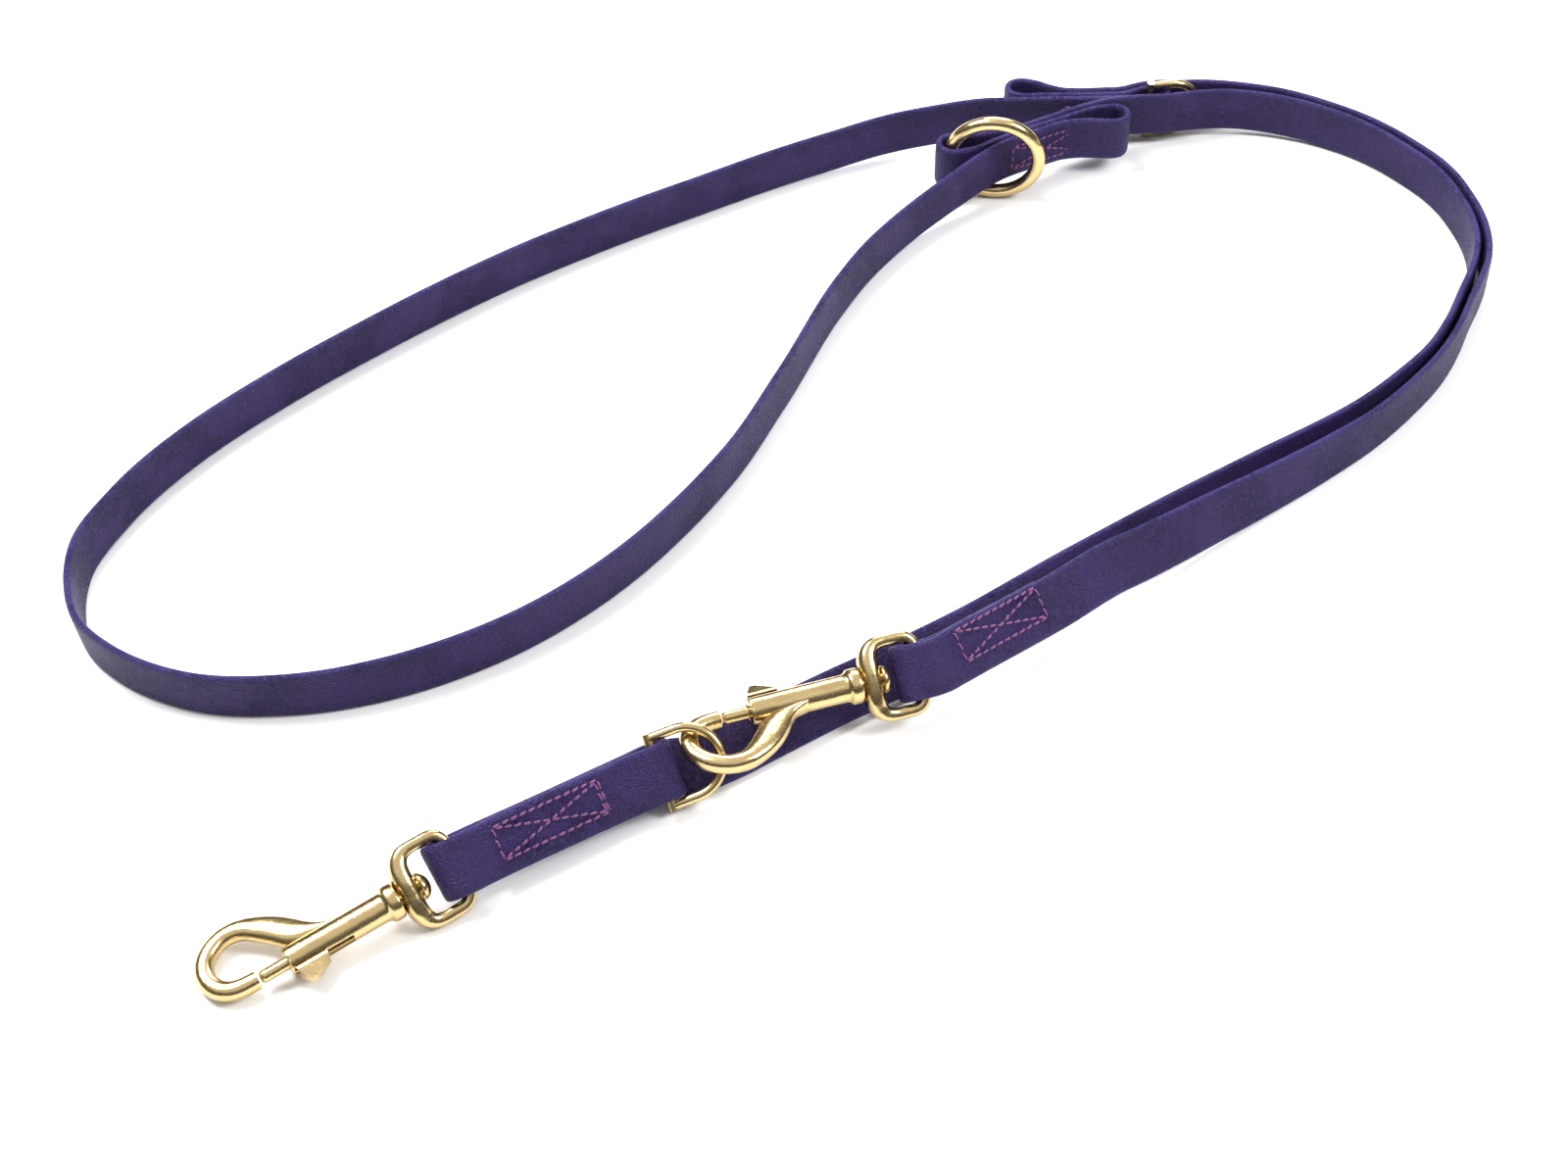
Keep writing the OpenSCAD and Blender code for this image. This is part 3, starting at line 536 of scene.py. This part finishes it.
def sewing(name, node, faces, length, width, double_end=False):
    """One box's thread and holes. A stitch is a tube along t. Its radius shrinks towards the ends as the root
    of one less the sixth power of the distance from its middle, it rises over the leather as a sine, and two
    plies wind round it by four fifths of a turn."""
    t = np.linspace(0, 1, 9)[:, None]
    a = 2 * np.pi * np.arange(6) / 6
    rim = 2 * np.pi * np.arange(8) / 8
    points, uvs, pits = [], [], []
    seed = np.random.default_rng(len(name) * 7 + 3)
    for origin, u, v in faces:
        out = np.cross(u, v)
        for start, step in box_and_cross(length, width, double_end):
            size = np.linalg.norm(step)
            way = unit(step)
            side = np.array([-way[1], way[0]])
            slant = seed.normal(0.10, 0.04) * size
            grow = 1 + seed.normal(0, 0.05)
            radius = THREAD / 2 * grow * np.sqrt(np.clip(1 - (2 * t - 1) ** 6, 0.04, 1))
            radius = radius * (1 + 0.16 * np.cos(2 * a + 2 * np.pi * 1.6 * t))
            along = step * (0.10 + 0.80 * t) + side * slant * (t - 0.5)
            lift = -0.12 + 0.36 * np.sin(np.pi * t)
            flat = start + along
            ring = flat[:, None] + side * (radius * np.cos(a))[..., None]
            high = lift + radius * np.sin(a)
            points.append(origin + ring[..., :1] * u + ring[..., 1:] * v + high[..., None] * out)
            uvs.append(np.stack(np.broadcast_arrays(t, a / (2 * np.pi)), axis=-1))
            hole = start + np.stack([0.5 * np.cos(rim), 0.5 * np.sin(rim)], axis=1)
            pits.append(origin + hole[:, :1] * u + hole[:, 1:] * v + 0.07 * out)
    rows, cols = t.shape[0], a.shape[0]
    count = len(points)
    tubes = (tube_quads(rows, cols) + np.arange(count)[:, None, None] * rows * cols).reshape(-1, 4)
    closed = [[*range(b, b + cols)][::-1] for b in range(0, count * rows * cols, rows * cols)]
    closed += [[*range(b, b + cols)] for b in range((rows - 1) * cols, count * rows * cols, rows * cols)]
    base = count * rows * cols
    holes = [[*range(base + 8 * m, base + 8 * m + 8)] for m in range(len(pits))]
    mesh = bpy.data.meshes.new(name)
    spots = np.vstack([np.array(points).reshape(-1, 3), np.array(pits).reshape(-1, 3)]) * MM
    mesh.from_pydata(spots.tolist(), [], tubes.tolist() + closed + holes)
    uv_all = np.vstack([np.array(uvs).reshape(-1, 2), np.zeros((len(spots) - base, 2))])
    write_uv(mesh, uv_all)
    mesh.shade_smooth()
    mesh.materials.append(thread_finish)
    mesh.materials.append(hole_shade_finish)
    kinds = np.zeros(len(mesh.polygons), int)
    kinds[len(tubes) + len(closed) :] = 1
    mesh.polygons.foreach_set("material_index", kinds)
    obj = bpy.data.objects.new(name, mesh)
    bpy.context.scene.collection.objects.link(obj)
    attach(obj, "strap")
    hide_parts(node)
    return obj


thread_finish, n, floss = new_finish("magenta_thread", (0.3, 0.07, 0.28), Roughness=0.42, Sheen_Weight=0.3)
ply = n.add("ShaderNodeSeparateXYZ", {"Vector": n.add("ShaderNodeUVMap", uv_map="UVMap").outputs["UV"]})
wound = n.math("ADD", n.math("MULTIPLY", ply.outputs["X"], 3.2), n.math("MULTIPLY", ply.outputs["Y"], 2.0))
twist = n.math("SINE", n.math("MULTIPLY", wound, 6.2832))
# The ply colour darkens to near black in the grooves between the plies: painted shade.
painted_groove_shade = n.math("MULTIPLY_ADD", twist, 0.5, 0.5)
thread_colour_and_groove_shade = n.ramp(painted_groove_shade, (0.0, (0.045, 0.007, 0.06)), (0.6, (0.20, 0.033, 0.21)))
broad, close = clouding(n, 900.0, 5000.0)
thread_colour_and_groove_shade = n.mix(n.math("MULTIPLY", close, 0.35), thread_colour_and_groove_shade, (0.24, 0.06, 0.24))
n.tree.links.new(thread_colour_and_groove_shade, floss.inputs["Base Color"])
ridges = n.add("ShaderNodeBump", {"Height": twist, "Strength": 0.4, "Distance": 0.0001})
n.tree.links.new(ridges.outputs[0], floss.inputs["Normal"])
# Each hole is a flat dark disc laid on the leather: painted shade standing in for the hollow.
hole_shade_finish, n, pit = new_finish("punched_hole_shade", (0.012, 0.007, 0.022), Roughness=0.8)
broad, close = clouding(n, 500.0, 3000.0)
n.tree.links.new(n.mix(close, (0.006, 0.004, 0.012), (0.02, 0.012, 0.035)), pit.inputs["Base Color"])


def both_faces(origin, u, w, lowest, highest):
    """The two outer faces of a stack, as origin, along and across: the far one has across turned over."""
    u = unit(u)
    w = square_to(w, u)
    out = np.cross(u, w)
    near = origin + out * (highest + THICK / 2) + SHIFT
    far = origin + out * (lowest - THICK / 2) + SHIFT
    return [(near, u, w), (far, u, -w)]


at_17 = stack_a(17, 0)[:3]
along = unit(stack_a(55, 0)[:3] - at_17)
faces_a = both_faces(at_17 + wide_a(35), along, wide_a(35), 0, 2 * LAYER)
sewing("stitches_a", "stitch_box_a", faces_a, 38, BOX_WIDE, True)
along = unit(stack_b(58, 0)[:3] - stack_b(26, 0)[:3])
start = stack_b(19, 0)[:3] + 2.4 * wide_b(44)
faces_b = both_faces(start, along, wide_b(44), UPPER_B - LAYER, UPPER_B)
sewing("stitches_b", "stitch_box_b", faces_b, 36.5, BOX_WIDE)
start = np.array(fold_c(-14, 0)[:2] + (RING_LIFT + WIDE / 2,))
sewing("stitches_c", "stitch_box_c", both_faces(start, level(FOLD_C_ANGLE), UP, -2 * LAYER, 0), 31, BOX_WIDE)
start = np.array(fold_d(15, 0)[:2] + (D_LIFT + WIDE / 2,))
sewing("stitches_d", "stitch_box_d", both_faces(start, level(FOLD_D_ANGLE), UP, -2 * LAYER, 0), 26, BOX_WIDE)

# ---- Rings ------------------------------------------------------------------
# A welded round ring and two cast D-rings, all solid brass, tumbled and polished.
# They keep their turned shapes, and the polish is a little wavy with fine scratches.
brass, n, metal = new_finish("polished_brass", (0.76, 0.52, 0.2), Metallic=1.0, Roughness=0.16)
broad, close = clouding(n, 110.0, 1600.0)
tint = n.mix(broad, (0.50, 0.365, 0.165), (0.66, 0.51, 0.265))
tint = n.mix(n.ramp(close, (0.52, 0.0), (0.8, 0.45)), tint, (0.42, 0.28, 0.11))
n.tree.links.new(tint, metal.inputs["Base Color"])
spot_at = n.add("ShaderNodeTexCoord").outputs["Object"]
lines = n.add("ShaderNodeMapping", {"Vector": spot_at, "Scale": (260.0, 2600.0, 2600.0), "Rotation": (0, 0, 0.6)})
scratch = n.add("ShaderNodeTexNoise", {"Vector": lines.outputs[0], "Scale": 1.0, "Detail": 3.0})
n.tree.links.new(n.ramp(scratch.outputs["Fac"], (0.3, 0.15), (0.75, 0.30)), metal.inputs["Roughness"])
waves = n.add("ShaderNodeBump", {"Height": broad, "Strength": 0.35, "Distance": 0.0009})
over_waves = {"Height": close, "Strength": 0.10, "Distance": 0.0001, "Normal": waves.outputs[0]}
fine = n.add("ShaderNodeBump", over_waves)
n.tree.links.new(fine.outputs[0], metal.inputs["Normal"])

steel, n, wire = new_finish("bright_wire", (0.6, 0.6, 0.6), Metallic=1.0, Roughness=0.3)
broad, close = clouding(n, 300.0, 2500.0)
n.tree.links.new(n.mix(close, (0.45, 0.45, 0.46), (0.7, 0.7, 0.69)), wire.inputs["Base Color"])


def refinish(node, material):
    """A CAD node given this material in every slot."""
    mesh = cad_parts[node].data
    if not mesh.materials:
        mesh.materials.append(material)
    for i in range(len(mesh.materials)):
        mesh.materials[i] = material


for ring in ("o_ring", "d_ring_1", "d_ring_2"):
    refinish(ring, brass)

# ---- Bolt snaps -------------------------------------------------------------
# A cast brass body: a turned barrel with a slot, a loop that comes off its side
# and meets the sprung bolt, and a riveted stem that the swivel eye turns on.
BARREL_FRONT = 38.5
COLLAR_GAP = 0.3
EYE_BASE = 7.2
EYE_INSIDE = 11.4
EYE_BAR = -COLLAR_GAP - EYE_BASE - EYE_INSIDE - EYE_WIRE / 2
BARREL = 4.75
SLOT_START, SLOT_END = 17.5, 37.9
SLOT_HALF = 1.5
BORE = 2.16


def turned(profile, n=72):
    """A profile of (forward, radius) points carried round the barrel's axis, as (forward, y, z)."""
    p = np.array(profile, float)
    a = 2 * np.pi * np.arange(n) / n
    return np.stack(
        [np.broadcast_to(p[:, :1], (len(p), n)), p[:, 1:] * np.cos(a), p[:, 1:] * np.sin(a)], axis=-1
    )


def slotted(x0, x1, outer):
    """The barrel's wall where it is cut through to the bore on the thumb's side: a C section carried forward."""
    wide, tight = np.pi - np.arcsin(SLOT_HALF / outer), np.pi - np.arcsin(SLOT_HALF / BORE)
    a, b = np.linspace(-wide, wide, 64), np.linspace(tight, -tight, 32)
    ring = np.vstack(
        [np.stack([outer * np.cos(a), outer * np.sin(a)], 1), np.stack([BORE * np.cos(b), BORE * np.sin(b)], 1)]
    )
    x = np.array([x0, x1])
    return np.concatenate(
        [np.broadcast_to(x[:, None, None], (2, len(ring), 1)), np.broadcast_to(ring, (2, *ring.shape))], axis=-1
    )


def hook(n=28):
    """The loop: an oval section carried along a smooth route of (forward, sideways, band width)."""
    route = np.array([
        (-19, 3.4, 2.2), (-14.5, 4.4, 4.0), (-10, 6.3, 7.4), (-6, 9.2, 9.8), (-1.9, 13.6, 9.6), (2.9, 17.7, 8),
        (7.1, 20.0, 6.6), (12.2, 20.4, 6), (17.1, 18.6, 6), (21, 15.1, 6.1), (22.8, 10.8, 6.3),
        (22.8, 7.2, 6.4), (21.5, 3.9, 6.4), (19.1, 1.6, 6.1), (16.3, 0.5, 5.9), (12.8, 0.1, 5.7), (10.2, 0, 5.6),
    ])  # fmt: skip
    rows, _ = eased(np.column_stack([route[:, 0] + BARREL_FRONT, route[:, 1], 0 * route[:, 0], route[:, 2]]), 0.8)
    go = unit(np.gradient(rows[:, :3], axis=0))
    side = np.cross(go, UP)
    a = 2 * np.pi * np.arange(n) / n
    fat = (np.abs(np.cos(a)) ** 2.3 + np.abs(np.sin(a)) ** 2.3) ** (-1 / 2.3)
    return (
        rows[:, None, :3]
        + UP * (3.0 * fat * np.cos(a))[None, :, None]
        + side[:, None] * (rows[:, 3:] / 2 * fat * np.sin(a))[..., None]
    )


def placed(points, origin, forward, sideways):
    """Points (forward, sideways, thickness) moved from a snap's own frame to where it lies."""
    basis = np.stack([forward, sideways, np.cross(forward, sideways)])
    return points @ basis + origin + SHIFT


def joined(name, shells):
    """Several closed shells as one mesh."""
    objs = [grid_mesh(f"{name}_{i}", s) for i, s in enumerate(shells)]
    with bpy.context.temp_override(active_object=objs[0], selected_editable_objects=objs):
        bpy.ops.object.join()
    objs[0].name = objs[0].data.name = name
    return objs[0]


def eye_ring(n=28):
    """The swivel eye: an oval section, thick and wide at the base and round at the arms and the strap's bar,
    carried once round from the middle of the base; rows are (forward, sideways, half width, half thickness)."""
    arm = 9.5 + 0.75 + 2.1
    turn = np.radians([0, 22.5, 45, 67.5, 90])
    half = [(-3.9, 0.0, 3.6, 4.7), (-3.9, 3.6, 3.6, 4.6), (-4.2, 6.8, 3.4, 4.1)]
    half += [(-5.2, 9.6, 3.0, 3.2), (-7.4, 11.7, 2.5, 2.5)]
    half += [(-10.4, arm, 2.15, 2.15), (-13.5, arm, 2.1, 2.1)]
    half += [(-16.5 - 4.5 * np.sin(a), arm - 4.5 + 4.5 * np.cos(a), 2.1, 2.1) for a in turn]
    half += [(EYE_BAR, 4, 2.1, 2.1), (EYE_BAR, 0, 2.1, 2.1)]
    other = [(x, -y, w, h) for x, y, w, h in half[-2::-1]]
    route = np.array(half + other)
    rows, _ = eased(np.column_stack([route[:, :2], 0 * route[:, 0], route[:, 2:]]), 0.8)
    go = unit(np.gradient(rows[:, :3], axis=0))
    side = np.cross(go, UP)
    a = 2 * np.pi * np.arange(n) / n
    fat = (np.abs(np.cos(a)) ** 2.4 + np.abs(np.sin(a)) ** 2.4) ** (-1 / 2.4)
    return (
        rows[:, None, :3]
        + UP * (rows[:, 4:] * fat * np.cos(a))[..., None]
        + side[:, None] * (rows[:, 3:4] * fat * np.sin(a))[..., None]
    )


def snap_shells():
    """Every shell of a snap's body in its own frame."""
    collar = [(0.0, 5.2), (0.12, 5.75), (0.5, 6.0), (1.1, 6.05), (2.9, 6.05), (3.7, 5.9)]
    collar += [(4.2, 5.5), (4.6, 5.0), (5.3, 4.8), (5.9, BARREL)]
    rear = [(0.0, 0.02)] + collar + [(6.5, BARREL), (12.0, BARREL), (SLOT_START, BARREL)]
    front = [(SLOT_END, BORE), (SLOT_END, BARREL), (38.2, 4.7), (38.45, 4.45)]
    front += [(BARREL_FRONT, 4.2), (BARREL_FRONT, BORE), (SLOT_END, BORE)]
    dome = [(0.02 if a == 0 else 4.65 * np.sin(a), -7.8 - 3.4 * np.cos(a)) for a in np.linspace(0, np.pi / 2, 10)]
    rivet = [(x, r) for r, x in dome] + [(-7.8, 0.02)]
    stem = [(-8.2, 0.02), (-8.2, 3), (0.5, 3), (0.5, 0.02)]
    barrel_wall = slotted(SLOT_START, SLOT_END, BARREL)
    return [turned(rear), barrel_wall, turned(front), turned(rivet), turned(stem), hook()]


eye_a = START_A + out_a(0) * ROUND_EYE + ALONG_A * 2.9
bulge_a = square_to(np.array([-0.555, 0.832, 0]), SNAP_A_WAY)
bulge_b = square_to(np.array([0.31, -0.93, 0.05]), SNAP_B_WAY)
snaps = {
    "a": (eye_a - SNAP_A_WAY * EYE_BAR, SNAP_A_WAY, bulge_a, EYE_A_WIDE),
    "b": (EYE_B - SNAP_B_WAY * EYE_BAR, SNAP_B_WAY, bulge_b, EYE_B_WIDE),
}
for letter, (collar_at, forward, bulge, eye_wide) in snaps.items():
    shells = [placed(s, collar_at, forward, bulge) for s in snap_shells()]
    body = joined(f"snap_casting_{letter}", shells)
    body.data.materials.append(brass)
    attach(body, f"snap_{letter}")
    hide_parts(f"snap_{letter}_body")
    eye = grid_mesh(f"swivel_eye_{letter}", placed(eye_ring(), collar_at, forward, eye_wide))
    eye.data.materials.append(brass)
    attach(eye, f"eye_{letter}")
    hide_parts(f"snap_{letter}_eye")
    for part_name in ("plunger", "knob"):
        refinish(f"snap_{letter}_{part_name}", brass)
    refinish(f"snap_{letter}_spring", steel)

# ---- Floor and light --------------------------------------------------------
# A pale seamless table, a strong soft light high on the left and weaker ones on the
# right and behind. The room is light above and darker low down, so metal has depth.
reach = 4.0
table_mesh = bpy.data.meshes.new("table")
corners = [(-reach, -reach, 0), (reach, -reach, 0), (reach, reach, 0), (-reach, reach, 0)]
table_mesh.from_pydata(corners, [], [(0, 1, 2, 3)])
table = bpy.data.objects.new("table", table_mesh)
bpy.context.scene.collection.objects.link(table)
pale, n, top = new_finish("pale_table", (0.97, 0.97, 0.97), Roughness=0.9, Specular_IOR_Level=0.1)
table_mesh.materials.append(pale)

bpy.context.scene.view_settings.view_transform = "Standard"
room = bpy.data.worlds.new("room")
bpy.context.scene.world = room
room.use_nodes = True
n = Nodes(room.node_tree)
heights = n.add("ShaderNodeSeparateXYZ", {"Vector": n.add("ShaderNodeTexCoord").outputs["Generated"]})
shade = n.ramp(heights.outputs["Z"], (0.0, 0.06), (0.3, 0.14), (0.62, 0.30), (0.8, 1.0))
background = room.node_tree.nodes["Background"]
room.node_tree.links.new(shade, background.inputs["Color"])
background.inputs["Strength"].default_value = 1.0

for name, place, size, power in (
    ("window_left", (-0.8, 0.35, 1.3), 0.8, 36),
    ("window_right", (1.1, -0.2, 1.1), 0.5, 16),
    ("window_back", (0.2, 1.3, 0.9), 0.8, 16),
):
    lamp = bpy.data.lights.new(name, "AREA")
    lamp.energy = power
    lamp.size = size
    light = bpy.data.objects.new(name, lamp)
    bpy.context.scene.collection.objects.link(light)
    light.location = place
    light.rotation_euler = (-Vector(place)).to_track_quat("-Z", "Y").to_euler()
